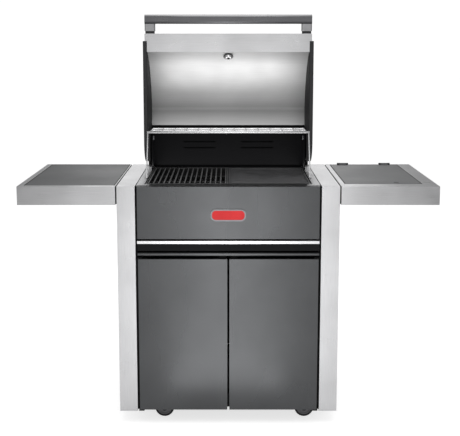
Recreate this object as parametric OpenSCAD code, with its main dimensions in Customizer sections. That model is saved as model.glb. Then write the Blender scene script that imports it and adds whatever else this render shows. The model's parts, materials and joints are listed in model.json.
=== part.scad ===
// Freestanding gas barbecue on a two-door cabinet trolley.
// +X is the cook's right, +Y is the back, +Z is up. The origin is on the floor, under the middle.
// The hood is drawn open, which is its rest pose.

/* [Overall] */
// Height of the worktops above the floor
deck_z = 945; // [940:1:950]
// Depth of the trolley from front to back
depth = 560; // [558:1:564]
// Thickness of the trolley's sheet metal
sheet = 1.2; // [1:0.1:1.6]

/* [Posts and shelves] */
// Half of the clear width between the two posts
post_in = 354; // [353:1:356]
// Width of one post
post_w = 69; // [60:1:80]
// Height of the lower ends of the posts
post_foot_z = 54; // [53:1:56]
// Gap between a post and its shelf
shelf_gap = 5; // [4:1:8]
// Width of one shelf
shelf_w = 372; // [360:1:400]
// Height of the apron around a shelf
shelf_h = 71; // [68:1:74]
// Border at the outer end of the left shelf
left_border = 20; // [12:1:30]
// Border along the front of the left shelf
left_front_border = 25; // [15:1:30]
// Border at the outer end of the right shelf
right_border = 53; // [45:1:60]
// Border along the front of the right shelf
right_front_border = 58; // [50:1:62]
// Strip between the side burner lid and the post
right_inner_border = 19; // [15:1:22]

/* [Doors] */
// Height of the lower edge of the doors
door_z = 59; // [58:1:61]
// Height of the upper edge of the doors
door_top_z = 663; // [660:1:664]
// Thickness of a door
door_t = 16; // [15:1:16]
// Gap between the two doors
door_gap = 8; // [5:1:10]
// Thickness of a door's outer skin
door_skin = 1.2; // [1:0.1:2]

/* [Front] */
// Half of the width of the panels between the posts
front_half_w = 347; // [345:1:348]
// Height of the drop-down cover over the knobs
cover_h = 202; // [198:1:203]
// Thickness of the drop-down cover
cover_t = 14; // [13:1:15]
// Width of the name plate, which carries no name
badge_w = 134; // [100:1:140]
// Height of the name plate
badge_h = 46; // [42:1:60]
// Diameter of a knob
knob_d = 44; // [38:1:48]

/* [Cooking area] */
// Half of the inside width of the firebox
firebox_half_w = 321; // [321:0.5:322]
// Length of a cooking plate, front to back
plate_len = 393; // [380:1:395]
// Thickness of a cooking plate
plate_t = 25; // [23:1:26]
// Number of bars in the open grill plate
bar_count = 16; // [12:1:16]
// Number of cross wires in the warming rack
rack_wires = 12; // [8:1:14]

/* [Hood] */
// Radius of the hood's curved front
hood_r = 350; // [348:1:352]
// Thickness of the hood's outer skin
skin_t = 1.5; // [1.2:0.1:2]
// Half of the width of the hood between its end caps
hood_half_w = 330; // [329.5:0.5:330]
// Thickness of one end cap, with its side liner
cap_t = 16.5; // [15:0.5:17]
// Height of the handle tube's section
handle_h = 36; // [32:1:38]
// Depth of the handle tube's section
handle_d = 37; // [33:1:38]

/* [Casters] */
// Diameter of a caster wheel
wheel_d = 75; // [72:1:76]
// Width of a caster wheel
wheel_w = 24; // [22:1:25]
// Distance of a wheel's axle behind its swivel pin
caster_trail = 24; // [20:1:25]

/* [Hidden] */
$fn = 48;

// A cut runs past the face it opens by this much.
cut = 1;
// Radial running clearance of a pin in its bore
fit = 0.06;

front = -depth / 2;
back = depth / 2;
post_out = post_in + post_w;
side_t = 5;
side_in = post_in - side_t;
shelf_in = post_out + shelf_gap;
shelf_out = shelf_in + shelf_w;
shelf_z = deck_z - shelf_h;

// Colours
stainless = [0.78, 0.78, 0.79];
graphite = [0.36, 0.37, 0.38];
black = [0.07, 0.07, 0.07];
dark_iron = [0.16, 0.16, 0.17];
alloy = [0.55, 0.55, 0.56];
copper = [0.72, 0.42, 0.25];
brass = [0.75, 0.62, 0.35];
red = [0.62, 0.07, 0.09];
clear = [0.85, 0.9, 0.92];

// ---- Shared shapes ----

module span(x, y, z) {
    translate([x[0], y[0], z[0]])
        cube([x[1] - x[0], y[1] - y[0], z[1] - z[0]]);
}

module both_sides() {
    children();
    mirror([1, 0, 0]) children();
}

module rod_x(x, y, z, r) {
    translate([x[0], y, z]) rotate([0, 90, 0]) cylinder(h = x[1] - x[0], r = r);
}

module rod_y(x, y, z, r) {
    translate([x, y[0], z]) rotate([-90, 0, 0]) cylinder(h = y[1] - y[0], r = r);
}

module rod_z(x, y, z, r) {
    translate([x, y, z[0]]) cylinder(h = z[1] - z[0], r = r);
}

// A round wire from point a to point b
module wire(a, b, r) {
    v = b - a;
    translate(a)
        rotate([0, acos(v.z / norm(v)), atan2(v.y, v.x)])
            cylinder(h = norm(v), r = r);
}

// A centred rectangle with round corners
module rounded(w, h, r) {
    square([w - 2 * r, h], center = true);
    square([w, h - 2 * r], center = true);
    for (sx = [-1, 1], sy = [-1, 1])
        translate([sx * (w / 2 - r), sy * (h / 2 - r)]) circle(r = r, $fn = 32);
}

// Extrudes an outline of [y, z] points between two x positions.
module along_x(x) {
    translate([x[0], 0, 0]) rotate([90, 0, 90]) linear_extrude(x[1] - x[0]) children();
}

// Extrudes an outline of [x, z] points between two y positions.
module along_y(y) {
    translate([0, y[1], 0]) rotate([90, 0, 0]) linear_extrude(y[1] - y[0]) children();
}

function arc(centre, r, from, to, steps) = [for (i = [0 : steps])
    let (a = from + (to - from) * i / steps) centre + r * [cos(a), sin(a)]];

// ---- Posts and cabinet ----

// Copper tube that feeds the side burner
tube_y = -220;
tube_z = shelf_z + 12;
tube_r = 4;
tube_hole_r = 6;

module post() {
    difference() {
        span([post_in, post_out], [front, back], [post_foot_z, deck_z]);
        span([post_in - cut, post_out - sheet], [front + sheet, back - sheet],
            [post_foot_z + sheet, deck_z - sheet]);
    }
}

module side_leg_left() {
    color(stainless) mirror([1, 0, 0]) post();
}

module side_leg_right() {
    color(stainless) difference() {
        post();
        rod_x([post_out - sheet - cut, post_out + cut], tube_y, tube_z, tube_hole_r);
    }
}

side_front = front + 18;
side_top = deck_z - 5;
side_fold = 12;

module cabinet_sides() {
    color(black) difference() {
        both_sides() difference() {
            span([side_in, post_in], [side_front, back], [post_foot_z, side_top]);
            span([side_in + sheet, post_in + cut], [side_front + side_fold, back - side_fold],
                [post_foot_z + side_fold, side_top - side_fold]);
        }
        rod_x([side_in - cut, post_in + cut], tube_y, tube_z, tube_hole_r);
    }
}

base_z = 100;
base_h = 18;
base_y = [front + 22, back - 4];

module cabinet_base() {
    color(black) difference() {
        span([-side_in, side_in], base_y, [base_z, base_z + base_h]);
        span([-side_in + sheet, side_in - sheet], [base_y[0] + sheet, base_y[1] - sheet],
            [base_z + sheet, base_z + base_h + cut]);
    }
}

back_top = 776;
back_y = [back - 4, back - 4 + sheet];
vent_w = 110;
vent_h = 8;
vent_pitch = 22;
vent_rows = 5;
vent_z = base_z + 60;

module cabinet_back() {
    color(black) difference() {
        span([-side_in, side_in], back_y, [base_z + base_h, back_top]);
        for (side = [-1, 1], row = [0 : vent_rows - 1])
            translate([side * side_in / 2 - vent_w / 2, back_y[0] - cut, vent_z + row * vent_pitch])
                cube([vent_w, sheet + 2 * cut, vent_h]);
    }
}

rail_z = [673, 688];
rail_y = [front + 6, front + 30];
rail_corner_r = 5;

module header_rail() {
    rail_h = rail_z[1] - rail_z[0];
    rail_d = rail_y[1] - rail_y[0];
    color(graphite) along_x([-front_half_w, front_half_w])
        translate([rail_y[0] + rail_d / 2, rail_z[0] + rail_h / 2]) rounded(rail_d, rail_h, rail_corner_r);
}

shield_z = 666;
shield_y = [front + 42, back - 6];

module heat_shield() {
    color(stainless) span([-side_in, side_in], shield_y, [shield_z, shield_z + sheet]);
}

// ---- Doors ----

hinge_x = front_half_w - 9;
hinge_y = front + 9;
hinge_pin_r = 4;
hinge_pin_len = 20;
hinge_bore_len = 22;
ear_t = 4;
ear_gap = 1.5;
stile_w = 16;
door_out = front_half_w - 2;

module door() {
    difference() {
        span([door_gap / 2, door_out], [front, front + door_t], [door_z, door_top_z]);
        span([door_gap / 2 + sheet, door_out - stile_w], [front + door_skin, front + door_t + cut],
            [door_z + sheet, door_top_z - sheet]);
        rod_z(hinge_x, hinge_y, [door_z - cut, door_z + hinge_bore_len], hinge_pin_r + fit);
        rod_z(hinge_x, hinge_y, [door_top_z - hinge_bore_len, door_top_z + cut], hinge_pin_r + fit);
    }
}

module door_right() {
    color(graphite) door();
}

module door_left() {
    color(graphite) mirror([1, 0, 0]) door();
}

ear_x = [hinge_x - 10, side_in];
ear_y = [front + 2, front + 30];

module door_hinges() {
    low = door_z - ear_gap;
    high = door_top_z + ear_gap;
    color(black) both_sides() {
        span(ear_x, ear_y, [low - ear_t, low]);
        rod_z(hinge_x, hinge_y, [low, low + hinge_pin_len], hinge_pin_r);
        span(ear_x, ear_y, [high, high + ear_t]);
        rod_z(hinge_x, hinge_y, [high - hinge_pin_len, high], hinge_pin_r);
    }
}

catch_x = [8, 38];
catch_y = [front + door_t + 2, rail_y[1]];
catch_h = 18;

module door_catches() {
    color(alloy) both_sides() span(catch_x, catch_y, [rail_z[0] - catch_h, rail_z[0]]);
}

// ---- Casters ----

caster_x = 278;
caster_y = 203;
plate_half = 30;
plate_z = base_z - 3;
fork_top_z = 92;
fork_neck_z = 84;
kingpin_r = 5;
axle_r = 4;
axle_z = wheel_d / 2;
fork_gap = wheel_w / 2 + 1.5;
fork_arm_t = 3;
fork_crown_r = 20;
fork_x = [-14, 30];
fork_web_z = wheel_d + 5;
arm_root_z = wheel_d + 2;
axle_boss_r = 11;
bolt_head_r = 7;
bolt_head_h = 3;
race_r = 16;

module at_caster(side, end) {
    translate([side * caster_x, end * caster_y, 0]) children();
}

module caster_plates() {
    color(alloy) for (side = [-1, 1], end = [-1, 1]) at_caster(side, end) {
        span([-plate_half, plate_half], [-plate_half, plate_half], [plate_z, base_z]);
        rod_z(0, 0, [fork_neck_z + 1, plate_z], kingpin_r);
        rod_z(0, 0, [fork_top_z + 0.5, plate_z], race_r);
    }
}

module caster_fork(side, end) {
    arm_y = fork_gap + fork_arm_t;
    head_y = arm_y + bolt_head_h;
    color(black) at_caster(side, end) {
        difference() {
            union() {
                rod_z(0, 0, [fork_neck_z, fork_top_z], fork_crown_r);
                span(fork_x, [-arm_y, arm_y], [fork_web_z, fork_neck_z]);
                for (y = [[-arm_y, -fork_gap], [fork_gap, arm_y]]) {
                    along_y(y) polygon([[fork_x[0], fork_neck_z], [fork_x[1], fork_neck_z],
                        [fork_x[1], arm_root_z], [caster_trail + axle_boss_r, axle_z],
                        [caster_trail - axle_boss_r, axle_z]]);
                    rod_y(caster_trail, y, axle_z, axle_boss_r);
                }
            }
            rod_z(0, 0, [fork_neck_z - cut, fork_top_z + cut], kingpin_r + fit);
            rod_y(caster_trail, [-arm_y - cut, arm_y + cut], axle_z, axle_r + fit);
        }
        // The axle bolt, with a head at each end
        rod_y(caster_trail, [-head_y, head_y], axle_z, axle_r);
        rod_y(caster_trail, [-head_y, -arm_y], axle_z, bolt_head_r);
        rod_y(caster_trail, [arm_y, head_y], axle_z, bolt_head_r);
    }
}

tyre_t = 9;
tread_chamfer = 7;
hub_rim_t = 4;
hub_boss_r = 12;
hub_dish = 5;

module caster_wheel(side, end) {
    tyre_r = wheel_d / 2;
    hub_r = tyre_r - tyre_t;
    half = wheel_w / 2;
    dish_w = hub_r - hub_boss_r - hub_rim_t;
    at_caster(side, end) translate([caster_trail, 0, axle_z]) rotate([90, 0, 0]) {
        color(black) rotate_extrude($fn = 64) difference() {
            translate([hub_r, -half]) square([tyre_t, wheel_w]);
            translate([tyre_r, half]) rotate(45) square(tread_chamfer, center = true);
            translate([tyre_r, -half]) rotate(45) square(tread_chamfer, center = true);
        }
        color(alloy) rotate_extrude($fn = 64) difference() {
            translate([axle_r + fit, -half + 1]) square([hub_r - axle_r - fit, wheel_w - 2]);
            translate([hub_boss_r, half - hub_dish]) square([dish_w, hub_dish]);
            translate([hub_boss_r, -half]) square([dish_w, hub_dish]);
        }
    }
}

// ---- Firebox and what is in it ----

wall_t = 2;
box_z = [780, deck_z - 1];
box_y = [-208, 238];
flange_t = 3;
flange_half_w = firebox_half_w - 1;
ledge_half_w = firebox_half_w - 14;
side_ledge = 12;
upstand_z = deck_z + 12;
burner_x = [-240, -80, 80, 240];
burner_z = [846, 868];
venturi_z = 857;
venturi_r = 11;
venturi_wall = 2.5;
plate_z0 = deck_z - 2 - plate_t;
plate_y = [-203, -203 + plate_len];
ledge_z = [plate_z0 - 3, plate_z0];

module firebox() {
    outer = firebox_half_w + wall_t;
    inside_y = [box_y[0] + wall_t, box_y[1] - wall_t];
    flange_z = [box_z[1] - flange_t, box_z[1]];
    color(black) {
        // Side walls, each with a ledge for the plates
        both_sides() {
            span([firebox_half_w, outer], inside_y, box_z);
            span([firebox_half_w - side_ledge, firebox_half_w], inside_y, ledge_z);
        }
        // Front wall, with its top flange, a ledge and the burner holes
        difference() {
            union() {
                span([-outer, outer], [box_y[0], inside_y[0]], box_z);
                span([-flange_half_w, flange_half_w], [front + 18, inside_y[0]], flange_z);
                span([-ledge_half_w, ledge_half_w], [inside_y[0], box_y[0] + side_ledge], ledge_z);
            }
            for (x = burner_x)
                rod_y(x, [box_y[0] - cut, inside_y[0] + cut], venturi_z, venturi_r + 1);
        }
        // Rear wall, with the ledge behind the plates and an upstand
        span([-outer, outer], [inside_y[1], box_y[1]], box_z);
        span([-flange_half_w, flange_half_w], [plate_y[1] + wall_t, inside_y[1]], flange_z);
        span([-flange_half_w, flange_half_w], [inside_y[1] - wall_t, inside_y[1]],
            [box_z[1], upstand_z]);
        span([-ledge_half_w, ledge_half_w], [plate_y[1] - 8, plate_y[1]], ledge_z);
        span([-ledge_half_w, ledge_half_w], [plate_y[1], plate_y[1] + wall_t],
            [ledge_z[0], flange_z[0]]);
        span([-ledge_half_w, ledge_half_w], [plate_y[1] + wall_t, plate_y[1] + 2 * wall_t],
            [flange_z[0] - wall_t, flange_z[0]]);
    }
}

burner_y = [-195, 185];
burner_w = 60;
burner_corner_r = 28;
burner_wall = 3.5;
port_w = 44;
port_gap = 4;
port_pitch = 36;
port_rows = 4;
air_inlet_y = -210.5;
stub_r = 6;
stub_joint = 3;

module burners() {
    length = burner_y[1] - burner_y[0];
    middle = (burner_y[0] + burner_y[1]) / 2;
    color(dark_iron) for (x = burner_x) {
        difference() {
            union() {
                translate([x, middle, burner_z[0]]) linear_extrude(burner_z[1] - burner_z[0])
                    rounded(burner_w, length, burner_corner_r);
                rod_y(x, [air_inlet_y, burner_y[0] + stub_joint], venturi_z, venturi_r - 0.5);
            }
            translate([x, middle, burner_z[0] + burner_wall])
                linear_extrude(burner_z[1] - burner_z[0] - 2 * burner_wall)
                    rounded(burner_w - 2 * burner_wall, length - 2 * burner_wall,
                        burner_corner_r - burner_wall);
            rod_y(x, [air_inlet_y - cut, burner_y[0] + 2 * burner_wall], venturi_z,
                burner_z[1] - venturi_z - burner_wall - 1);
            for (i = [-port_rows : port_rows])
                span([x - port_w / 2, x + port_w / 2],
                    [i * port_pitch - port_gap / 2, i * port_pitch + port_gap / 2],
                    [burner_z[1] - burner_wall - cut, burner_z[1] + cut]);
        }
        rod_y(x, [burner_y[1] - stub_joint, box_y[1] - wall_t], venturi_z, stub_r);
    }
}

tamer_z = [880, 904];
tamer_half_w = 62;

module flame_tamers() {
    color(stainless) for (x = burner_x)
        translate([x, 0, 0]) along_y([box_y[0] + wall_t, box_y[1] - wall_t])
            polygon([[-tamer_half_w, tamer_z[0]], [0, tamer_z[1] - sheet], [tamer_half_w, tamer_z[0]],
                [tamer_half_w, tamer_z[0] + sheet], [0, tamer_z[1]],
                [-tamer_half_w, tamer_z[0] + sheet]]);
}

bar_pitch = 20;
bar_top_w = 7;
bar_foot_w = 4;
bar_chamfer = 1;
bar_shoulder = 3;
plate_half_gap = 1;
plate_outer = 319;
plate_top = plate_z0 + plate_t;
frame_end_w = 8;
frame_side_w = 3;
cross_bar_y = [-75, 62];
cross_bar_w = 8;
cross_bar_h = 10;

module grill_plate() {
    inner_x = [-plate_outer + frame_side_w, -plate_half_gap - frame_side_w];
    inner_y = [plate_y[0] + frame_end_w, plate_y[1] - frame_end_w];
    color(dark_iron) {
        difference() {
            span([-plate_outer, -plate_half_gap], plate_y, [plate_z0, plate_top]);
            span(inner_x, inner_y, [plate_z0 - cut, plate_top + cut]);
        }
        for (i = [0 : bar_count - 1])
            translate([-(i + 0.5) * bar_pitch, 0, 0]) along_y(inner_y)
                polygon([[-bar_foot_w / 2, plate_z0 + 5], [bar_foot_w / 2, plate_z0 + 5],
                    [bar_top_w / 2, plate_top - bar_shoulder],
                    [bar_top_w / 2 - bar_chamfer, plate_top], [-bar_top_w / 2 + bar_chamfer, plate_top],
                    [-bar_top_w / 2, plate_top - bar_shoulder]]);
        for (y = cross_bar_y)
            span(inner_x, [y - cross_bar_w / 2, y + cross_bar_w / 2],
                [plate_z0, plate_z0 + cross_bar_h]);
    }
}

hotplate_rim = 6;
hotplate_skirt = 10;
hotplate_hollow = 12;
drain_x = [120, 200];
drain_y = [plate_y[0] + 12, plate_y[0] + 20];

module hotplate() {
    color(dark_iron) difference() {
        span([plate_half_gap, plate_outer], plate_y, [plate_z0, plate_top]);
        span([plate_half_gap + hotplate_rim, plate_outer - hotplate_rim],
            [plate_y[0] + hotplate_rim, plate_y[1] - hotplate_rim],
            [plate_top - hotplate_rim, plate_top + cut]);
        span([plate_half_gap + hotplate_skirt, plate_outer - hotplate_skirt],
            [plate_y[0] + hotplate_skirt, plate_y[1] - hotplate_skirt],
            [plate_z0 - cut, plate_z0 + hotplate_hollow]);
        span(drain_x, drain_y, [plate_z0 - cut, plate_top + cut]);
    }
}

rim_z = [deck_z - 1, deck_z + 2];
rim_y = [front + 18, 250];
rim_return = 21;

module cooktop_rims() {
    color(stainless) both_sides() {
        span([firebox_half_w, side_in + 1], rim_y, rim_z);
        span([firebox_half_w - rim_return, firebox_half_w], [rim_y[0], rim_y[0] + rim_return], rim_z);
    }
}

rack_z = deck_z + 179;
rack_y = [-35, 40, 100];
rack_leg_x = 324.5;
rack_side_x = 317;
rack_near_r = 4;
rack_rail_r = 2.5;
rack_wire_r = 1.6;
rack_leg_r = 3;
rack_pitch = 49;
foot_y = -110;
foot_r = 5;
foot_h = 6;

module warming_rack() {
    foot_z = rim_z[1];
    leg_top = [0, rack_y[0], rack_z];
    leg_end = [0, foot_y, foot_z + foot_h / 2];
    near_end = rack_leg_x + rack_leg_r + 0.5;
    far_end = rack_side_x + rack_rail_r + 0.5;
    color(stainless) {
        rod_x([-near_end, near_end], rack_y[0], rack_z, rack_near_r);
        for (y = [rack_y[1], rack_y[2]])
            rod_x([-far_end, far_end], y, rack_z, rack_rail_r);
        for (side = [-1, 1]) {
            rod_y(side * rack_side_x, [rack_y[0], rack_y[2]], rack_z, rack_wire_r + 0.4);
            wire([side * rack_leg_x, 0, 0] + leg_top, [side * rack_leg_x, 0, 0] + leg_end, rack_leg_r);
            rod_z(side * rack_leg_x, foot_y, [foot_z, foot_z + foot_h], foot_r);
        }
        for (i = [0 : rack_wires - 1])
            rod_y((i - (rack_wires - 1) / 2) * rack_pitch, [rack_y[0], rack_y[2]], rack_z, rack_wire_r);
    }
}

// ---- Gas supply and controls ----

manifold_y = -220;
manifold_z = 838;
manifold_r = 9;
knob_x = [-240, -80, 80, 240, 308];
knob_z = 860;
stem_r = 4;
panel_y = front + 46;
supply_x = -336;
supply_r = 7;
inlet_x = -290;
inlet_r = 10.48;
inlet_y = [back - 16, back + 4];
turn_y = back - 28;
side_burner_at = [597, 20];
side_jet_y = side_burner_at.y - 18;

// A pipe bend: a ball where two round pipes meet
module elbow(at, r) {
    translate(at) sphere(r = r);
}

module gas_manifold() {
    side_end = knob_x[4] + 14;
    corner_x = knob_x[4] + 29;
    color(alloy) {
        rod_x([supply_x, side_end], manifold_y, manifold_z, manifold_r);
        elbow([supply_x, manifold_y, manifold_z], manifold_r);
        rod_y(supply_x, [manifold_y, turn_y], manifold_z, supply_r);
        elbow([supply_x, turn_y, manifold_z], supply_r);
        rod_x([supply_x, inlet_x], turn_y, manifold_z, supply_r);
        elbow([inlet_x, turn_y, manifold_z], supply_r);
        rod_y(inlet_x, [turn_y, inlet_y[0]], manifold_z, supply_r);
        rod_y(inlet_x, inlet_y, manifold_z, inlet_r);
    }
    color(copper) {
        rod_x([side_end - 2, corner_x], tube_y, knob_z, tube_r);
        elbow([corner_x, tube_y, knob_z], tube_r);
        rod_z(corner_x, tube_y, [knob_z, tube_z], tube_r);
        elbow([corner_x, tube_y, tube_z], tube_r);
        rod_x([corner_x, side_burner_at.x], tube_y, tube_z, tube_r);
        elbow([side_burner_at.x, tube_y, tube_z], tube_r);
        rod_y(side_burner_at.x, [tube_y, side_jet_y], tube_z, tube_r);
    }
}

valve_half_w = 12;
valve_top = knob_z + 13;

module gas_valves() {
    body_y = [panel_y + 3, manifold_y + manifold_r];
    color(brass) for (x = knob_x) {
        span([x - valve_half_w, x + valve_half_w], body_y, [manifold_z + manifold_r, valve_top]);
        rod_y(x, [front + 24, body_y[0]], knob_z, stem_r);
    }
}

igniter_x = -308;
igniter_r = 9;
igniter_head_r = 12;
igniter_reach = 12;
igniter_collar = 7;
igniter_tail = 8;
panel_z = [760, deck_z - 5];

module control_panel() {
    color(graphite) difference() {
        span([-front_half_w + 1, front_half_w - 1], [panel_y, panel_y + sheet], panel_z);
        for (x = knob_x) rod_y(x, [panel_y - cut, panel_y + sheet + cut], knob_z, stem_r + 2);
        rod_y(igniter_x, [panel_y - cut, panel_y + sheet + cut], knob_z, igniter_r + fit);
    }
}

knob_skirt = 8;
knob_waist = 5;
knob_grip_half_w = 5;
knob_y = [front + 20, panel_y - 1.5];

module knob(x) {
    grip_r = knob_d / 2 - knob_waist;
    skirt_y = knob_y[1] - knob_skirt;
    color(black) difference() {
        union() {
            rod_y(x, [skirt_y, knob_y[1]], knob_z, knob_d / 2);
            rod_y(x, [knob_y[0] + 3, skirt_y], knob_z, grip_r);
            span([x - knob_grip_half_w, x + knob_grip_half_w], [knob_y[0], skirt_y],
                [knob_z - grip_r, knob_z + grip_r + 3]);
        }
        rod_y(x, [front + 23.5, knob_y[1] + cut], knob_z, stem_r + fit);
    }
}

module igniter_button() {
    color(stainless) {
        rod_y(igniter_x, [panel_y - igniter_collar, panel_y + igniter_tail], knob_z, igniter_r);
        rod_y(igniter_x, [panel_y - igniter_reach, panel_y - igniter_collar], knob_z, igniter_head_r);
    }
}

// ---- Drop-down cover ----

cover_z = [deck_z - 1 - cover_h, deck_z - 1];
cover_pivot = [front + 9, cover_z[0] + 7];
cover_pin_r = 3;
cover_block_w = 12;
cover_block_h = 15;
cover_ear_half = 8;

module fascia_cover() {
    color(graphite) difference() {
        union() {
            difference() {
                span([-front_half_w, front_half_w], [front, front + cover_t], cover_z);
                span([-front_half_w + sheet, front_half_w - sheet],
                    [front + door_skin, front + cover_t + cut],
                    [cover_z[0] + sheet, cover_z[1] - sheet]);
            }
            both_sides() span([front_half_w - cover_block_w, front_half_w],
                [front + 1, front + cover_t], [cover_z[0], cover_z[0] + cover_block_h]);
        }
        both_sides() rod_x([front_half_w - cover_block_w - cut, front_half_w + cut],
            cover_pivot[0], cover_pivot[1], cover_pin_r + fit);
    }
}

module cover_hinges() {
    color(black) both_sides() {
        rod_x([front_half_w - cover_block_w + 1, side_in], cover_pivot[0], cover_pivot[1], cover_pin_r);
        span([side_in, post_in], [front + cover_pin_r, side_front],
            [cover_pivot[1] - cover_ear_half, cover_pivot[1] + cover_ear_half]);
    }
}

badge_rim = 5;
badge_t = 4;
badge_corner_r = 20;
badge_z = cover_z[0] + 93;

module badge() {
    inlay_w = badge_w - 2 * badge_rim;
    inlay_h = badge_h - 2 * badge_rim;
    inlay_r = badge_corner_r - badge_rim;
    color(stainless) along_y([front - badge_t, front]) translate([0, badge_z]) difference() {
        rounded(badge_w, badge_h, badge_corner_r);
        rounded(inlay_w, inlay_h, inlay_r);
    }
    color(red) along_y([front - badge_t + 1, front]) translate([0, badge_z])
        rounded(inlay_w, inlay_h, inlay_r);
}

// ---- Drip tray ----

tray_y = [front + 16, 205];
tray_z = [702, 735];
tray_half = 318;
tray_flange = 340;
tray_t = 1.2;
tray_face_z = 696;
pull_z = [724, 735];
pull_lip = 3;
face_step = 8;

module drip_tray() {
    face_top = pull_z[0] - 1;
    color(dark_iron) {
        difference() {
            union() {
                span([-tray_half, tray_half], tray_y, tray_z);
                span([-tray_flange, tray_flange], tray_y, [tray_z[1] - tray_t, tray_z[1]]);
            }
            span([-tray_half + tray_t, tray_half - tray_t], [tray_y[0] + tray_t, tray_y[1] - tray_t],
                [tray_z[0] + tray_t, tray_z[1] + cut]);
        }
        difference() {
            span([-front_half_w, front_half_w], [front, tray_y[0]], [tray_face_z, face_top]);
            span([-front_half_w + sheet, front_half_w - sheet], [front + sheet, tray_y[0] - sheet],
                [tray_face_z - cut, face_top - sheet]);
        }
        span([-front_half_w + face_step, front_half_w - face_step], [front + face_step, tray_y[0]],
            [face_top, pull_z[0]]);
    }
}

module tray_pull() {
    color(stainless) difference() {
        span([-front_half_w, front_half_w], [front - pull_lip, tray_y[0]], pull_z);
        span([-front_half_w - cut, front_half_w + cut], [front + 1, tray_y[0] - pull_lip],
            [pull_z[0] - cut, pull_z[1] - pull_lip]);
    }
}

runner_x = 326;
runner_y = [front + 22, 215];
runner_t = 2;
runner_h = 22;

module tray_runners() {
    top = tray_z[1] - tray_t - 0.3;
    color(alloy) both_sides() {
        span([runner_x, side_in], runner_y, [top - runner_t, top]);
        span([side_in - runner_t, side_in], runner_y, [top - runner_h, top - runner_t]);
    }
}

// ---- Hood, drawn closed and then turned open about its pivots ----

pivot = [154.5, deck_z + 133.5];
pivot_r = 6;
hood_z = deck_z + 4;
hood_front = -255;
hood_back = 249;
front_edge_z = hood_z + 51;
curve_x = 46.3;
curve_z = front_edge_z - sqrt(pow(hood_r, 2) - pow(curve_x - hood_front, 2));
crown_z = curve_z + hood_r;
roof_fall = tan(4);
heel_r = 90;

module opened() {
    translate([0, pivot[0], pivot[1]]) rotate([-90, 0, 0])
        translate([0, -pivot[0], -pivot[1]]) children();
}

// The curved front and the roof, as far in as inset from the outer face
function hood_top(inset) =
    let (r = hood_r - inset, x = hood_front + inset, z = crown_z - inset)
    concat([[x, curve_z + sqrt(pow(r, 2) - pow(curve_x - x, 2))]],
        arc([curve_x, curve_z], r, acos((x - curve_x) / r), 90, 24),
        [[hood_back, z - (hood_back - curve_x) * roof_fall]]);

// The end cap's outline: grow lifts the curved edge, wall shrinks the others
function cap_outline(grow, wall) =
    let (top = hood_top(-grow), x = hood_front + wall, r = heel_r - wall, z = hood_z + wall)
    concat([[x, z]], [for (p = top) [max(x, min(p.x, hood_back - wall)), p.y]],
        arc([hood_back - heel_r, hood_z + heel_r], r, 0, -90, 12));

function reversed(list) = [for (i = [len(list) - 1 : -1 : 0]) list[i]];

liner_front = -211;
liner_start_z = hood_z + 26;
liner_r = 323.6;
liner_centre = [79.9, deck_z - 111.9];
liner_from = 154;
liner_to = 96;
liner_end = [107, deck_z + 198.5];
liner_t = 1;

function liner_path(inset) = concat([[liner_front + inset, liner_start_z]],
    arc(liner_centre, liner_r - inset, liner_from, liner_to, 24), [liner_end - [0, inset]]);

gauge_tilt = 53;
gauge_at = [0, curve_x - hood_r * sin(gauge_tilt), curve_z + hood_r * cos(gauge_tilt)];

module at_gauge() {
    opened() translate(gauge_at) rotate([gauge_tilt, 0, 0]) children();
}

gauge_stem_r = 5;

module gauge_hole() {
    at_gauge() cylinder(h = 130, r = gauge_stem_r + 0.5, center = true);
}

module hood_skin() {
    inner = reversed(hood_top(skin_t));
    outline = concat([[hood_front, hood_z]], hood_top(0), inner,
        [[hood_front + skin_t, hood_z + skin_t], [liner_front, hood_z + skin_t],
            [liner_front, hood_z]]);
    color(stainless) difference() {
        opened() along_x([-hood_half_w, hood_half_w]) polygon(outline);
        gauge_hole();
    }
}

module hood_liner() {
    low = hood_z + skin_t;
    outline = concat([[liner_front - liner_t, low]], liner_path(-liner_t), reversed(liner_path(0)),
        [[liner_front, low]]);
    color(stainless) difference() {
        opened() along_x([-hood_half_w, hood_half_w]) polygon(outline);
        gauge_hole();
    }
    color(black) opened() difference() {
        both_sides() along_x([hood_half_w, hood_half_w + skin_t]) polygon(cap_outline(0, 0));
        rod_x([-hood_half_w - cap_t, hood_half_w + cap_t], pivot[0], pivot[1], pivot_r + fit);
    }
}

module hood_caps() {
    inside = hood_half_w + skin_t;
    outside = hood_half_w + cap_t;
    color(graphite) opened() both_sides() difference() {
        along_x([inside, outside]) polygon(cap_outline(3, 0));
        along_x([inside - cut, outside - 3]) polygon(cap_outline(-1, 3));
        rod_x([inside, outside + cut], pivot[0], pivot[1], pivot_r + fit);
    }
}

module hood_pivots() {
    color(alloy) opened() both_sides() {
        rod_x([firebox_half_w - 5, hood_half_w + cap_t + 0.5], pivot[0], pivot[1], pivot_r);
        rod_x([firebox_half_w - 5, firebox_half_w], pivot[0], pivot[1], 10);
    }
}

wing_x = [322, 325];
wing_y = [118, 217];
wing_top = deck_z + 160;
wing_slope = [18, 30];
panel_top = deck_z + 168;
slot_w = 137;
slot_x = 125;
slot_half_h = 3;
slot_z = [deck_z + 83, deck_z + 109];

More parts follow.
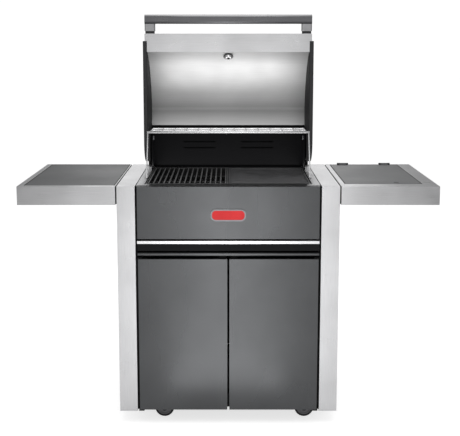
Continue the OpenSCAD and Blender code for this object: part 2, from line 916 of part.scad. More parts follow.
module rear_hood_panel() {
    panel_front = wing_y[1] - wall_t;
    color(black) difference() {
        union() {
            span([-wing_x[1], wing_x[1]], [panel_front, wing_y[1]], [rim_z[1], panel_top]);
            span([-flange_half_w, flange_half_w], [panel_front, wing_y[1]], [box_z[1], rim_z[1]]);
            both_sides() along_x(wing_x) polygon([[wing_y[0], rim_z[1]], [panel_front, rim_z[1]],
                [panel_front, wing_top], [wing_y[0] + wing_slope[0], wing_top],
                [wing_y[0], wing_top - wing_slope[1]]]);
        }
        both_sides() for (z = slot_z)
            span([slot_x - slot_w / 2, slot_x + slot_w / 2], [panel_front - cut, wing_y[1] + cut],
                [z - slot_half_h, z + slot_half_h]);
        rod_x([-wing_x[1] - cut, wing_x[1] + cut], pivot[0], pivot[1], pivot_r + fit);
    }
}

lip_half_w = 339;
lip_y = [hood_front - 30, hood_front];
lip_h = 44;
spacer_d = 10;
bracket_d = 29;
bracket_x = [297, lip_half_w];
grip_z = hood_z + 20;
bracket_y = [lip_y[0] - spacer_d - bracket_d, lip_y[0] - spacer_d];

module hood_front_rail() {
    color(stainless) opened() difference() {
        span([-lip_half_w, lip_half_w], lip_y, [hood_z, hood_z + lip_h]);
        span([-lip_half_w + sheet, lip_half_w - sheet], [lip_y[0] + sheet, lip_y[1] + cut],
            [hood_z + sheet, hood_z + lip_h - sheet]);
    }
}

bracket_h = 30;
bracket_corner_r = 5;
spacer_inset = 5;
grip_corner_r = 9;
grip_wall = 2;

module handle_brackets() {
    mid_x = (bracket_x[0] + bracket_x[1]) / 2;
    width = bracket_x[1] - bracket_x[0];
    opened() both_sides() {
        color(alloy) along_y(bracket_y) translate([mid_x, grip_z])
            rounded(width, bracket_h, bracket_corner_r);
        color(black) along_y([lip_y[0] - spacer_d, lip_y[0]]) translate([mid_x, grip_z])
            rounded(width - spacer_inset, bracket_h - spacer_inset - 1, bracket_corner_r);
    }
}

module handle_bar() {
    middle = [bracket_y[0] - handle_d / 2, grip_z];
    color(stainless) opened() {
        along_x([-lip_half_w + grip_wall, lip_half_w - grip_wall]) translate(middle) difference() {
            rounded(handle_d, handle_h, grip_corner_r);
            rounded(handle_d - 2 * grip_wall, handle_h - 2 * grip_wall, grip_corner_r - grip_wall);
        }
        both_sides() along_x([lip_half_w - grip_wall, lip_half_w]) translate(middle)
            rounded(handle_d, handle_h, grip_corner_r);
    }
}

bezel_r = 30;
bezel_w = 3;
bezel_z = [0.8, 12.8];
dial_z = 4;
glass_z = [10, 11.5];
probe_z = -64;
washer_z = -54;
washer_r = 20;
washer_t = 2;
nut_r = 10;
nut_h = 6;
needle_pin_r = 1.5;
needle_z = 5.5;
needle_rest = 125;

module probe_bore() {
    translate([0, 0, probe_z]) cylinder(h = bezel_z[0] - probe_z, r = gauge_stem_r);
}

module thermometer() {
    at_gauge() {
        color(stainless) {
            difference() {
                translate([0, 0, bezel_z[0]]) cylinder(h = bezel_z[1] - bezel_z[0], r = bezel_r);
                translate([0, 0, dial_z]) cylinder(h = bezel_z[1], r = bezel_r - bezel_w);
            }
            translate([0, 0, probe_z]) cylinder(h = bezel_z[0] + 0.2 - probe_z, r = gauge_stem_r);
            translate([0, 0, dial_z - 1]) cylinder(h = 5, r = needle_pin_r);
        }
        color(alloy) difference() {
            union() {
                translate([0, 0, washer_z]) cylinder(h = washer_t, r = washer_r);
                translate([0, 0, washer_z - nut_h]) cylinder(h = nut_h, r = nut_r, $fn = 6);
            }
            probe_bore();
        }
        color(clear) translate([0, 0, glass_z[0]])
            cylinder(h = glass_z[1] - glass_z[0], r = bezel_r - bezel_w);
    }
}

needle_boss_r = 4;
needle_w = 2;
needle_len = 22;

module thermometer_needle() {
    color(red) at_gauge() translate([0, 0, needle_z]) rotate(needle_rest) difference() {
        union() {
            cylinder(h = 2, r = needle_boss_r);
            translate([-needle_w / 2, 0, 0]) cube([needle_w, needle_len, 1]);
        }
        cylinder(h = needle_len, r = needle_pin_r + fit, center = true);
    }
}

// ---- Shelves ----

top_t = 6;
panel_seat = 4;
ledge_w = 8;
left_opening_x = [shelf_in + 4, shelf_out - left_border];
left_opening_y = [front + left_front_border, back - 5];
lid_opening_x = [shelf_in + right_inner_border, shelf_out - right_border];
lid_opening_y = [front + right_front_border, back - 11];

module shelf_frame(x, y) {
    difference() {
        span([shelf_in, shelf_out], [front, back], [shelf_z, deck_z]);
        span([shelf_in + sheet, shelf_out - sheet], [front + sheet, back - sheet],
            [shelf_z - cut, deck_z - top_t]);
        span(x, y, [deck_z - panel_seat, deck_z + cut]);
        span([x[0] + ledge_w, x[1] - ledge_w], [y[0] + ledge_w, y[1] - ledge_w],
            [deck_z - top_t - cut, deck_z]);
    }
}

module shelf_frame_left() {
    color(stainless) mirror([1, 0, 0]) shelf_frame(left_opening_x, left_opening_y);
}

module shelf_frame_right() {
    color(stainless) difference() {
        shelf_frame(lid_opening_x, lid_opening_y);
        rod_x([shelf_in - cut, shelf_in + sheet + cut], tube_y, tube_z, tube_hole_r);
    }
}

module shelf_insert_left() {
    gap = 1;
    color(graphite) mirror([1, 0, 0])
        span([left_opening_x[0] + gap, left_opening_x[1] - gap],
            [left_opening_y[0] + gap, left_opening_y[1] - gap],
            [deck_z - panel_seat, deck_z - 1]);
}

bracket_inset = 10;
bracket_z = [shelf_z + 2, deck_z - 3];

module shelf_brackets() {
    color(black) difference() {
        both_sides() span([post_out, shelf_in], [front + bracket_inset, back - bracket_inset], bracket_z);
        rod_x([post_out - cut, shelf_in + cut], tube_y, tube_z, tube_hole_r);
    }
}

// ---- Side burner ----

lid_gap = 1;
lid_t = 3.5;
lid_z = [deck_z - panel_seat + 0.3, deck_z - panel_seat + 0.3 + lid_t];
lid_axis = [lid_opening_y[1] + 3, lid_z[1] + 4];
lid_pin_r = 1.5;
lid_hinge_x = [490, 674];
lid_barrel_w = 30;
lid_barrel_r = 3.5;
lid_strap = 10;
lid_pocket = 12;
lid_pocket_h = 2;
strap_z = [deck_z + 0.4, lid_z[1] + 3];
finger_at = [652, -188];
finger_half = [9, 5];
finger_rim = 4;

module side_burner_lid() {
    x = [lid_opening_x[0] + lid_gap, lid_opening_x[1] - lid_gap];
    y = [lid_opening_y[0] + lid_gap, lid_opening_y[1] - lid_gap];
    hole_x = [finger_at.x - finger_half.x, finger_at.x + finger_half.x];
    hole_y = [finger_at.y - finger_half.y, finger_at.y + finger_half.y];
    color(graphite) difference() {
        union() {
            difference() {
                span(x, y, lid_z);
                span([x[0] + lid_pocket, x[1] - lid_pocket], [y[0] + lid_pocket, y[1] - lid_pocket],
                    [lid_z[0] - cut, lid_z[0] + lid_pocket_h]);
            }
            for (hx = lid_hinge_x) {
                barrel_x = [hx, hx + lid_barrel_w];
                rod_x(barrel_x, lid_axis[0], lid_axis[1], lid_barrel_r);
                span(barrel_x, [y[1] - lid_strap, lid_axis[0]], strap_z);
                span(barrel_x, [y[1] - lid_strap, y[1]], [lid_z[1], strap_z[0]]);
            }
            span([hole_x[0] - finger_rim, hole_x[1] + finger_rim],
                [hole_y[0] - finger_rim + 1, hole_y[1] + finger_rim - 1], lid_z);
        }
        for (hx = lid_hinge_x)
            rod_x([hx - cut, hx + lid_barrel_w + cut], lid_axis[0], lid_axis[1], lid_pin_r + fit);
        span(hole_x, hole_y, [lid_z[0] - cut, lid_z[1] + cut]);
    }
}

hinge_block_w = 9;
hinge_block_gap = 0.5;
hinge_block_y = [lid_axis[0] - 2.9, back - 2];

module side_lid_hinges() {
    reach = hinge_block_gap + hinge_block_w;
    color(black) for (hx = lid_hinge_x) {
        rod_x([hx - reach, hx + lid_barrel_w + reach], lid_axis[0], lid_axis[1], lid_pin_r);
        for (x = [hx - reach, hx + lid_barrel_w + hinge_block_gap])
            span([x, x + hinge_block_w], hinge_block_y, [deck_z, lid_axis[1] + 3]);
    }
}

dish_r = 100;
dish_t = 1.5;
dish_hole_r = 20;
dish_z = shelf_z + 21;
dish_rim_z = deck_z - top_t;
dish_margin = 3;

module side_burner_bowl() {
    at = side_burner_at;
    color(stainless) difference() {
        union() {
            span([lid_opening_x[0] + dish_margin, lid_opening_x[1] - dish_margin],
                [lid_opening_y[0] + dish_margin, lid_opening_y[1] - dish_margin],
                [dish_rim_z - dish_t, dish_rim_z]);
            rod_z(at.x, at.y, [dish_z, dish_rim_z], dish_r);
        }
        rod_z(at.x, at.y, [dish_z + dish_t, dish_rim_z + cut], dish_r - dish_t);
        rod_z(at.x, at.y, [dish_z - cut, dish_z + 2 * dish_t], dish_hole_r);
    }
}

ring_base_r = 40;
ring_neck_r = 30;
ring_cap_r = 36;
ring_z = [dish_z + 17, dish_z + 20, dish_z + 26];
jet_r = 18;
grid_z = [deck_z - 18, deck_z - 9];
grid_ring_r = [70, 76];
grid_arm_x = [22, 71, 75, 90];
grid_arm_half = 3;
grid_leg_x = 84;

module side_burner() {
    floor_z = dish_z + dish_t;
    color(dark_iron) translate([side_burner_at.x, side_burner_at.y, 0]) {
        rod_z(0, 0, [tube_z - tube_r - 1, floor_z], jet_r);
        rod_z(0, 0, [floor_z, ring_z[0]], ring_base_r);
        rod_z(0, 0, [ring_z[0], ring_z[1]], ring_neck_r);
        rod_z(0, 0, [ring_z[1], ring_z[2]], ring_cap_r);
        // The pan support: a ring on four arms with legs
        difference() {
            rod_z(0, 0, grid_z, grid_ring_r[1]);
            rod_z(0, 0, [grid_z[0] - cut, grid_z[1] + cut], grid_ring_r[0]);
        }
        for (a = [0 : 90 : 270]) rotate(a) {
            arm_y = [-grid_arm_half, grid_arm_half];
            span([grid_arm_x[0], grid_arm_x[1]], arm_y, grid_z);
            span([grid_arm_x[2], grid_arm_x[3]], arm_y, grid_z);
            span([grid_leg_x, grid_arm_x[3]], arm_y, [floor_z, grid_z[0]]);
        }
    }
}

side_leg_left();
side_leg_right();
cabinet_sides();
cabinet_base();
cabinet_back();
header_rail();
heat_shield();
door_hinges();
door_catches();
door_left();
door_right();
caster_plates();
caster_fork(-1, -1);  // caster_fork_fl
caster_fork(1, -1);  // caster_fork_fr
caster_fork(-1, 1);  // caster_fork_rl
caster_fork(1, 1);  // caster_fork_rr
caster_wheel(-1, -1);  // caster_wheel_fl
caster_wheel(1, -1);  // caster_wheel_fr
caster_wheel(-1, 1);  // caster_wheel_rl
caster_wheel(1, 1);  // caster_wheel_rr
firebox();
rear_hood_panel();
cooktop_rims();
burners();
flame_tamers();
grill_plate();
hotplate();
warming_rack();
gas_manifold();
gas_valves();
control_panel();
knob(knob_x[0]);  // knob_1
knob(knob_x[1]);  // knob_2
knob(knob_x[2]);  // knob_3
knob(knob_x[3]);  // knob_4
knob(knob_x[4]);  // knob_side
igniter_button();
fascia_cover();
badge();
cover_hinges();
drip_tray();
tray_pull();
tray_runners();
hood_skin();
hood_liner();
hood_caps();
hood_front_rail();
handle_bar();
handle_brackets();
thermometer();
thermometer_needle();
hood_pivots();
shelf_frame_left();
shelf_frame_right();
shelf_insert_left();
shelf_brackets();
side_burner_lid();
side_lid_hinges();
side_burner_bowl();
side_burner();
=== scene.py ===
"""Looks for the gas barbecue: materials, fine pieces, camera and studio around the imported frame."""

import json
import math

import bmesh
import bpy
from mathutils import Matrix, Vector


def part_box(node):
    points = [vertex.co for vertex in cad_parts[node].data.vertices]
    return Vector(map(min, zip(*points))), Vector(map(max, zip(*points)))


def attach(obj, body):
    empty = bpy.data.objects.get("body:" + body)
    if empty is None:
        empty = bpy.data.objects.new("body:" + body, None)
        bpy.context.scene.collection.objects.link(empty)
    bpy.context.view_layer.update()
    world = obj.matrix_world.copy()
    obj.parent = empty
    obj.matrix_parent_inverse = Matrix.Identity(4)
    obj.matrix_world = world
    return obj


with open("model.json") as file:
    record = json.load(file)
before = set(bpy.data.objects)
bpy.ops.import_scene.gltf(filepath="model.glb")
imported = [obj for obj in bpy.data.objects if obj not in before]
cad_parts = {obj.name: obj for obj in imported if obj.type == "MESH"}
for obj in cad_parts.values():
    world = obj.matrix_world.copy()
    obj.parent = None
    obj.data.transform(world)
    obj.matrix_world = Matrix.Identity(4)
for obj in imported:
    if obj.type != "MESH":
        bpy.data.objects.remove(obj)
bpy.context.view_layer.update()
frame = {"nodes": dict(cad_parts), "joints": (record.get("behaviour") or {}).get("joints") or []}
MM = 0.001


# ---- Materials ----

NOISE_ROUGHNESS = 0.55
# How far a rounded normal agrees with the true one: at a fully worn edge, and on a flat face.
WORN_EDGE = 0.8
FLAT_FACE = 0.985


class Surface:
    """A Principled material and the nodes that vary it. Coordinates are in metres on the object."""

    def __init__(self, name, metallic=0.0, specular=0.5, coat=0.0, coat_roughness=0.2, ior=1.5):
        self.material = bpy.data.materials.new(name)
        self.material.use_nodes = True
        self.tree = self.material.node_tree
        self.tree.nodes.clear()
        output = self.tree.nodes.new("ShaderNodeOutputMaterial")
        self.shader = self.tree.nodes.new("ShaderNodeBsdfPrincipled")
        self.tree.links.new(self.shader.outputs["BSDF"], output.inputs["Surface"])
        self.place = self.tree.nodes.new("ShaderNodeTexCoord").outputs["Object"]
        inputs = self.shader.inputs
        inputs["Metallic"].default_value = metallic
        inputs["Specular IOR Level"].default_value = specular
        inputs["Coat Weight"].default_value = coat
        inputs["Coat Roughness"].default_value = coat_roughness
        inputs["IOR"].default_value = ior

    def node(self, kind, **settings):
        made = self.tree.nodes.new(kind)
        for key, value in settings.items():
            setattr(made, key, value)
        return made

    def link(self, source, target):
        self.tree.links.new(source, target)

    def noise(self, scale, stretch=(1, 1, 1), detail=3.0):
        """Noise with about `scale` grains to the metre, times `stretch` along each axis."""
        mapping = self.node("ShaderNodeMapping")
        mapping.inputs["Scale"].default_value = stretch
        self.link(self.place, mapping.inputs["Vector"])
        made = self.node("ShaderNodeTexNoise")
        made.inputs["Scale"].default_value = scale
        made.inputs["Detail"].default_value = detail
        made.inputs["Roughness"].default_value = NOISE_ROUGHNESS
        self.link(mapping.outputs["Vector"], made.inputs["Vector"])
        return made.outputs["Fac"]

    def height(self):
        made = self.node("ShaderNodeSeparateXYZ")
        self.link(self.place, made.inputs[0])
        return made.outputs["Z"]

    def level(self, source, low, high, start=0.3, end=0.7):
        """Maps source from start..end to low..high."""
        made = self.node("ShaderNodeMapRange")
        made.inputs["From Min"].default_value = start
        made.inputs["From Max"].default_value = end
        made.inputs["To Min"].default_value = low
        made.inputs["To Max"].default_value = high
        self.link(source, made.inputs["Value"])
        return made.outputs["Result"]

    def add(self, first, second):
        made = self.node("ShaderNodeMath", operation="ADD")
        self.link(first, made.inputs[0])
        self.link(second, made.inputs[1])
        return made.outputs["Value"]

    def blend(self, amount, low, high):
        """A colour between low and high; each is a colour or a socket."""
        made = self.node("ShaderNodeMix", data_type="RGBA")
        self.link(amount, made.inputs[0])
        for value, target in ((low, made.inputs[6]), (high, made.inputs[7])):
            if isinstance(value, (tuple, list)):
                target.default_value = (*value, 1)
            else:
                self.link(value, target)
        return made.outputs[2]

    def edges(self, radius):
        """1 along worn edges and corners, 0 on flat faces."""
        bevel = self.node("ShaderNodeBevel", samples=4)
        bevel.inputs["Radius"].default_value = radius
        geometry = self.node("ShaderNodeNewGeometry")
        agreement = self.node("ShaderNodeVectorMath", operation="DOT_PRODUCT")
        self.link(bevel.outputs["Normal"], agreement.inputs[0])
        self.link(geometry.outputs["Normal"], agreement.inputs[1])
        return self.level(agreement.outputs["Value"], 1.0, 0.0, WORN_EDGE, FLAT_FACE)

    def color(self, source):
        self.link(source, self.shader.inputs["Base Color"])

    def worn_color(self, tone, radius, amount, bare):
        """tone, with up to amount of the colour bare mixed in along edges of about that radius."""
        wear = self.level(self.edges(radius), 0, amount, start=0, end=1)
        self.color(self.blend(wear, tone, bare))

    def roughness(self, source):
        self.link(source, self.shader.inputs["Roughness"])

    def bump(self, source, strength, depth):
        made = self.node("ShaderNodeBump")
        made.inputs["Strength"].default_value = strength
        made.inputs["Distance"].default_value = depth
        self.link(source, made.inputs["Height"])
        previous = self.shader.inputs["Normal"].links
        if previous:
            self.link(previous[0].from_socket, made.inputs["Normal"])
        self.link(made.outputs["Normal"], self.shader.inputs["Normal"])


def tint(color, factor):
    """The colour made darker or lighter by factor, at most white."""
    return tuple(min(1.0, c * factor) for c in color)


def brushed(name, along, color=(0.65, 0.65, 0.66), rough=(0.26, 0.4), depth=0.6 * MM, painted_shade=None):
    """Brushed stainless steel, its grain running along one axis.

    The last argument is (z, reach down, reach up, factor): painted shade, the steel darkened by that factor
    at that height, and less and less above and below it."""
    s = Surface(name, metallic=1.0)
    stretch = tuple(0.012 if axis == along else 1.0 for axis in "xyz")
    grain = s.noise(900, stretch, detail=4)
    cloud = s.noise(5, detail=2)
    streak = s.level(s.add(grain, cloud), 0, 1, start=0.7, end=1.3)
    tone = s.blend(streak, tint(color, 0.9), tint(color, 1.08))
    # Painted shade: a darker copy of the tone, blended in round the given height.
    if painted_shade:
        at_z, down, up, factor = painted_shade
        shaded_tone = s.blend(streak, tint(color, 0.9 * factor), tint(color, 1.08 * factor))
        above = s.level(s.height(), 0, 1, start=at_z, end=at_z + up)
        below = s.level(s.height(), 1, 0, start=at_z - down, end=at_z)
        tone = s.blend(s.add(above, below), shaded_tone, tone)
    s.color(tone)
    smear = s.noise(14, detail=3)
    s.roughness(s.level(s.add(grain, smear), rough[0], rough[1], start=0.7, end=1.3))
    s.bump(grain, strength=0.12, depth=depth)
    return s.material


def powder_coat(name, color, rough, grain=1400, metallic=0.0, specular=0.5):
    """Painted sheet metal: fine orange peel, faint marks, a little lighter on worn edges."""
    s = Surface(name, metallic=metallic, specular=specular)
    cloud = s.noise(6, detail=3)
    speck = s.noise(grain * 2.2, detail=1)
    mottle = s.level(s.add(cloud, speck), 0, 1, start=0.75, end=1.25)
    tone = s.blend(mottle, tint(color, 0.92), tint(color, 1.1))
    s.worn_color(tone, radius=1.2 * MM, amount=0.35, bare=tint(color, 2.2))
    smear = s.noise(3, (1.0, 1.0, 0.3), detail=4)
    s.roughness(s.level(smear, rough[0], rough[1]))
    s.bump(s.noise(grain, detail=2), strength=0.25, depth=0.1 * MM)
    return s.material


def cast_iron(name, color):
    """Matt enamelled casting: sandy grain, seasoned patches, rubbed edges."""
    s = Surface(name, specular=0.45)
    sand = s.noise(1300, detail=4)
    patch = s.noise(26, detail=4)
    tone = s.blend(s.level(patch, 0, 1), tint(color, 0.75), tint(color, 1.3))
    s.worn_color(tone, radius=1.5 * MM, amount=0.5, bare=tint(color, 2.6))
    s.roughness(s.level(patch, 0.42, 0.62))
    s.bump(sand, strength=0.5, depth=0.3 * MM)
    s.bump(s.noise(180, detail=2), strength=0.25, depth=0.6 * MM)
    return s.material


def enamel(name, color, rough, coat=0.3, specular=0.5):
    """Vitreous enamel or gloss paint."""
    s = Surface(name, coat=coat, coat_roughness=0.1, specular=specular)
    tone = s.blend(s.level(s.noise(9, detail=3), 0, 1), tint(color, 0.9), tint(color, 1.12))
    s.worn_color(tone, radius=1.0 * MM, amount=0.3, bare=tint(color, 2.0))
    s.roughness(s.level(s.noise(20, detail=4), rough[0], rough[1]))
    s.bump(s.noise(350, detail=2), strength=0.12, depth=0.2 * MM)
    return s.material


def cast_metal(name, color, rough=(0.34, 0.5), grain=1500):
    """Die-cast or zinc-plated metal with a fine tooth."""
    s = Surface(name, metallic=1.0)
    cloud = s.noise(30, detail=3)
    s.color(s.blend(s.level(cloud, 0, 1), tint(color, 0.88), tint(color, 1.08)))
    s.roughness(s.level(s.noise(60, detail=3), rough[0], rough[1]))
    s.bump(s.noise(grain, detail=3), strength=0.3, depth=0.2 * MM)
    return s.material


def plastic(name, color, rough=(0.4, 0.52)):
    """Moulded plastic or rubber with a fine spark-eroded texture."""
    s = Surface(name)
    s.color(s.blend(s.level(s.noise(40, detail=3), 0, 1), tint(color, 0.85), tint(color, 1.2)))
    s.roughness(s.level(s.noise(70, detail=3), rough[0], rough[1]))
    s.bump(s.noise(1800, detail=2), strength=0.4, depth=0.12 * MM)
    return s.material


def rubber(name, color):
    """Tyre rubber, greyed by dust in patches."""
    s = Surface(name, specular=0.35)
    dust = s.noise(55, detail=4)
    s.color(s.blend(s.level(dust, 0, 1), color, tint(color, 2.4)))
    s.roughness(s.level(dust, 0.6, 0.8))
    s.bump(s.noise(900, detail=3), strength=0.4, depth=0.3 * MM)
    return s.material


def glass(name):
    """Clear glass with faint smears."""
    s = Surface(name, ior=1.5)
    s.shader.inputs["Transmission Weight"].default_value = 1.0
    s.roughness(s.level(s.noise(30, detail=2), 0.02, 0.06))
    s.color(s.blend(s.level(s.noise(12, detail=2), 0, 1), (0.97, 0.98, 0.98), (1.0, 1.0, 1.0)))
    return s.material


STEEL = brushed("steel_along_x", "x")
STEEL_UPRIGHT = brushed("steel_along_z", "z")
STEEL_DEEP = brushed("steel_along_y", "y")
HANDLE_STEEL = brushed("handle_steel", "x", color=(0.16, 0.16, 0.168), rough=(0.24, 0.34))
# Painted highlight: a lighter copy of the handle's steel, for the bar's upper edge.
HANDLE_HIGHLIGHT_STEEL = brushed("handle_steel_painted_highlight", "x", color=(0.42, 0.42, 0.43), rough=(0.24, 0.34))
RIM_STEEL = brushed("rim_steel", "y", color=(0.46, 0.46, 0.47), rough=(0.3, 0.42))
BRIGHT_STEEL = brushed("bright_steel", "x", color=(0.80, 0.80, 0.81), rough=(0.16, 0.26), depth=0.3 * MM)
# Painted shade: the liner's steel is darkened round its bend.
LINER = brushed("liner_steel", "x", color=(0.76, 0.76, 0.76), rough=(0.42, 0.5), depth=0.3 * MM,
                painted_shade=(1.205, 0.098, 0.185, 0.32))
GRAPHITE = powder_coat("graphite_paint", (0.082, 0.084, 0.087), rough=(0.24, 0.3), grain=2200, metallic=0.8)
TOP_PAINT = powder_coat("graphite_worktop", (0.106, 0.109, 0.113), rough=(0.38, 0.5), grain=1500)
LID_PAINT = powder_coat("graphite_lid", (0.165, 0.168, 0.172), rough=(0.38, 0.5), grain=1500)
BLACK = enamel("black_enamel", (0.016, 0.016, 0.017), rough=(0.3, 0.42))
CAP_BLACK = powder_coat("satin_black_paint", (0.030, 0.030, 0.032), rough=(0.4, 0.5), specular=0.3)
LINER_BLACK = powder_coat("liner_black_enamel", (0.022, 0.022, 0.023), rough=(0.55, 0.65), specular=0.05)
REAR_BLACK = powder_coat("rear_black_enamel", (0.0035, 0.0035, 0.004), rough=(0.5, 0.62), specular=0.06)
PANEL_BLACK = powder_coat("matt_black_paint", (0.006, 0.006, 0.0065), rough=(0.5, 0.62), specular=0.15)
IRON = cast_iron("cast_iron", (0.095, 0.095, 0.098))
# Painted highlight and painted shade: a lighter iron for the tops of the grill's bars, and a near-black one
# for the rest of the plate.
LIT_BAR_IRON = cast_iron("bar_iron_painted_highlight", (0.15, 0.15, 0.153))
SHADED_BAR_IRON = cast_iron("bar_iron_painted_shade", (0.012, 0.012, 0.012))
ALLOY = cast_metal("cast_alloy", (0.43, 0.43, 0.44))
ZINC = cast_metal("zinc_plate", (0.60, 0.61, 0.62), rough=(0.25, 0.4), grain=800)
BRASS = cast_metal("brass", (0.72, 0.53, 0.27), rough=(0.22, 0.35))
COPPER = cast_metal("copper", (0.75, 0.40, 0.25), rough=(0.2, 0.35))
TYRE = rubber("tyre_rubber", (0.018, 0.018, 0.019))
RUBBER_BLACK = plastic("seal_rubber", (0.008, 0.008, 0.008), rough=(0.6, 0.75))
HUB = plastic("hub_plastic", (0.20, 0.20, 0.21))
KNOB = plastic("knob_plastic", (0.022, 0.022, 0.024))
RED = enamel("red_enamel", (0.78, 0.012, 0.016), rough=(0.28, 0.36), coat=0.0, specular=0.3)
BADGE_RIM = cast_metal("badge_rim", (0.20, 0.20, 0.21), rough=(0.3, 0.4), grain=900)
WHITE = enamel("white_enamel", (0.82, 0.82, 0.80), rough=(0.25, 0.35))
GLASS = glass("clear_glass")

CORNERS = ["fl", "fr", "rl", "rr"]
SIDES = (("left", -1), ("right", 1))
# Each knob's node and the body that it is.
KNOB_BODIES = {"knob_1": "burner_knob_1", "knob_2": "burner_knob_2", "knob_3": "burner_knob_3",
               "knob_4": "burner_knob_4", "knob_side": "side_burner_knob"}
MAIN_KNOBS = [name for name in KNOB_BODIES if name != "knob_side"]

NODE_MATERIALS = {
    RIM_STEEL: ["cooktop_rims"],
    STEEL: ["flame_tamers", "igniter_button", "hood_skin", "hood_front_rail",
            "thermometer", "shelf_frame_left", "shelf_frame_right", "side_burner_bowl"],
    STEEL_UPRIGHT: ["side_leg_left", "side_leg_right"],
    BRIGHT_STEEL: ["tray_pull", "warming_rack"],
    BADGE_RIM: ["badge"],
    HANDLE_STEEL: ["handle_bar", "hood_pivots"],
    LINER: ["hood_liner"],
    GRAPHITE: ["door_left", "door_right", "control_panel", "fascia_cover", "header_rail"],
    TOP_PAINT: ["shelf_insert_left"],
    LID_PAINT: ["side_burner_lid"],
    BLACK: ["firebox", "side_lid_hinges"] + ["caster_fork_" + corner for corner in CORNERS],
    CAP_BLACK: ["hood_caps"],
    REAR_BLACK: ["rear_hood_panel"],
    PANEL_BLACK: ["cabinet_sides", "cabinet_base", "cabinet_back", "drip_tray",
                  "door_catches", "door_hinges", "cover_hinges", "shelf_brackets"],
    IRON: ["burners", "hotplate", "side_burner"],
    SHADED_BAR_IRON: ["grill_plate"],
    ALLOY: ["handle_brackets", "gas_manifold"],
    ZINC: ["caster_plates", "tray_runners", "heat_shield"],
    BRASS: ["gas_valves"],
    TYRE: ["caster_wheel_" + corner for corner in CORNERS],
    KNOB: list(KNOB_BODIES),
    RED: ["thermometer_needle"],
}
SMOOTH_NODES = ["hood_skin", "hood_liner", "hood_caps"]
# How wide each edge is broken. Solid pieces are rounder along their edges than folded sheet is.
SHEET_EDGE = 0.4 * MM
THICK_EDGES = {
    1.0 * MM: ["handle_bar", "handle_brackets", "hotplate"],
    0.8 * MM: ["grill_plate", "badge", "igniter_button", "side_burner", "door_left", "door_right",
               "fascia_cover"] + list(KNOB_BODIES),
    0.6 * MM: ["header_rail", "shelf_insert_left", "side_burner_lid"],
}
# Shading breaks where faces meet at more than SHARP_ANGLE, and edges are softened above SOFT_EDGE_ANGLE.
SHARP_ANGLE = math.radians(35)
SOFT_EDGE_ANGLE = math.radians(40)


# ---- CAD nodes: finish, soft edges and the faces painted apart ----


def low(node):
    return Vector(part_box(node)[0])


def high(node):
    return Vector(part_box(node)[1])


def middle(node):
    return (low(node) + high(node)) / 2


def joint(name):
    """The frame's row of the joint, with its pos_m and its axis."""
    return next(row for row in frame["joints"] if row["name"] == name)


def add_soft_edges(piece, width):
    bevel = piece.modifiers.new("soft_edges", "BEVEL")
    bevel.width = width
    bevel.segments = 2
    bevel.limit_method = "ANGLE"
    bevel.angle_limit = SOFT_EDGE_ANGLE
    bevel.harden_normals = True


def edge_width(name):
    """How wide the edges of a CAD node are broken."""
    for width, names in THICK_EDGES.items():
        if name in names:
            return width
    return SHEET_EDGE


def finish_node(name, material):
    """Gives a CAD node its material and softly broken edges."""
    node = frame["nodes"][name]
    node.data.materials.clear()
    node.data.materials.append(material)
    if name in SMOOTH_NODES:
        node.data.attributes.remove(node.data.attributes["custom_normal"])
        node.data.shade_smooth()
    weld = node.modifiers.new("weld", "WELD")
    weld.merge_threshold = 0.02 * MM
    add_soft_edges(node, edge_width(name))
    if name in SMOOTH_NODES:
        weighted = node.modifiers.new("weighted_normals", "WEIGHTED_NORMAL")
        weighted.mode = "FACE_AREA"
        weighted.weight = 100


def paint(name, material, wanted):
    """Gives another material to the faces for which wanted(centre, normal) is true."""
    mesh = frame["nodes"][name].data
    mesh.materials.append(material)
    index = len(mesh.materials) - 1
    for face in mesh.polygons:
        if wanted(face.center, face.normal):
            face.material_index = index


def finish_nodes():
    for material, names in NODE_MATERIALS.items():
        for name in names:
            finish_node(name, material)


# How far along an axis the normal of a face points if the face looks, squarely or mostly, that way.
SQUARELY = 0.7
MOSTLY = 0.5


def paint_shelves():
    """The brushing follows the length of the side aprons."""
    for word, _ in SIDES:
        paint("shelf_frame_" + word, STEEL_DEEP, lambda centre, normal: abs(normal.x) > SQUARELY)


def paint_grill():
    """Painted highlight and painted shade: the tops of the bars are a lighter iron, and the rest of the
    plate a near-black iron.
    """
    paint("grill_plate", LIT_BAR_IRON, lambda centre, normal: normal.z > MOSTLY)


def paint_handle():
    """Painted highlight: the upper edge of the bar, between its front and its flat top, is a lighter steel,
    where light falls on it.
    """
    nearly_upright = 0.2
    nearly_flat = 0.97
    paint("handle_bar", HANDLE_HIGHLIGHT_STEEL,
          lambda centre, normal: nearly_upright < normal.z < nearly_flat and normal.y < 0)


def paint_leg_gap_shade():
    """Painted shade: the faces that look into the gaps beside the cooking box and the doors are painted
    black, for the shade in those gaps.
    """
    for word, side in SIDES:
        paint("side_leg_" + word, PANEL_BLACK, lambda centre, normal: normal.x * side < -SQUARELY)


def paint_hood():
    """The liner's ends are black, and so is the face of the skin that the liner hides."""
    liner_end = high("hood_skin").x - 0.1 * MM
    paint("hood_liner", LINER_BLACK, lambda centre, normal: abs(centre.x) > liner_end)
    hidden_below = high("hood_liner").z - 43 * MM
    paint("hood_skin", PANEL_BLACK, lambda centre, normal: normal.y < -0.05 and centre.z < hidden_below)


def paint_bracket_feet():
    """The handle's brackets are black at their feet, up to 10.1 mm above the top of the front rail."""
    feet_top = high("hood_front_rail").z + 10.1 * MM
    paint("handle_brackets", KNOB, lambda centre, normal: centre.z < feet_top)


def paint_badge():
    """A grey rim round a red inlay."""
    step = low("badge").y + 0.5 * MM
    paint("badge", RED, lambda centre, normal: normal.y < -MOSTLY and centre.y > step)


def paint_wheels():
    """Each wheel's hub is of another plastic than its tyre."""
    hub_r = 28 * MM
    for corner in CORNERS:
        name = "caster_wheel_" + corner
        axle = middle(name)
        paint(name, HUB, lambda centre, normal: math.hypot(centre.x - axle.x, centre.z - axle.z) < hub_r)


# Where the gas inlet leaves the back of the cooking box.
INLET_X = -0.29
INLET_Z = 0.838


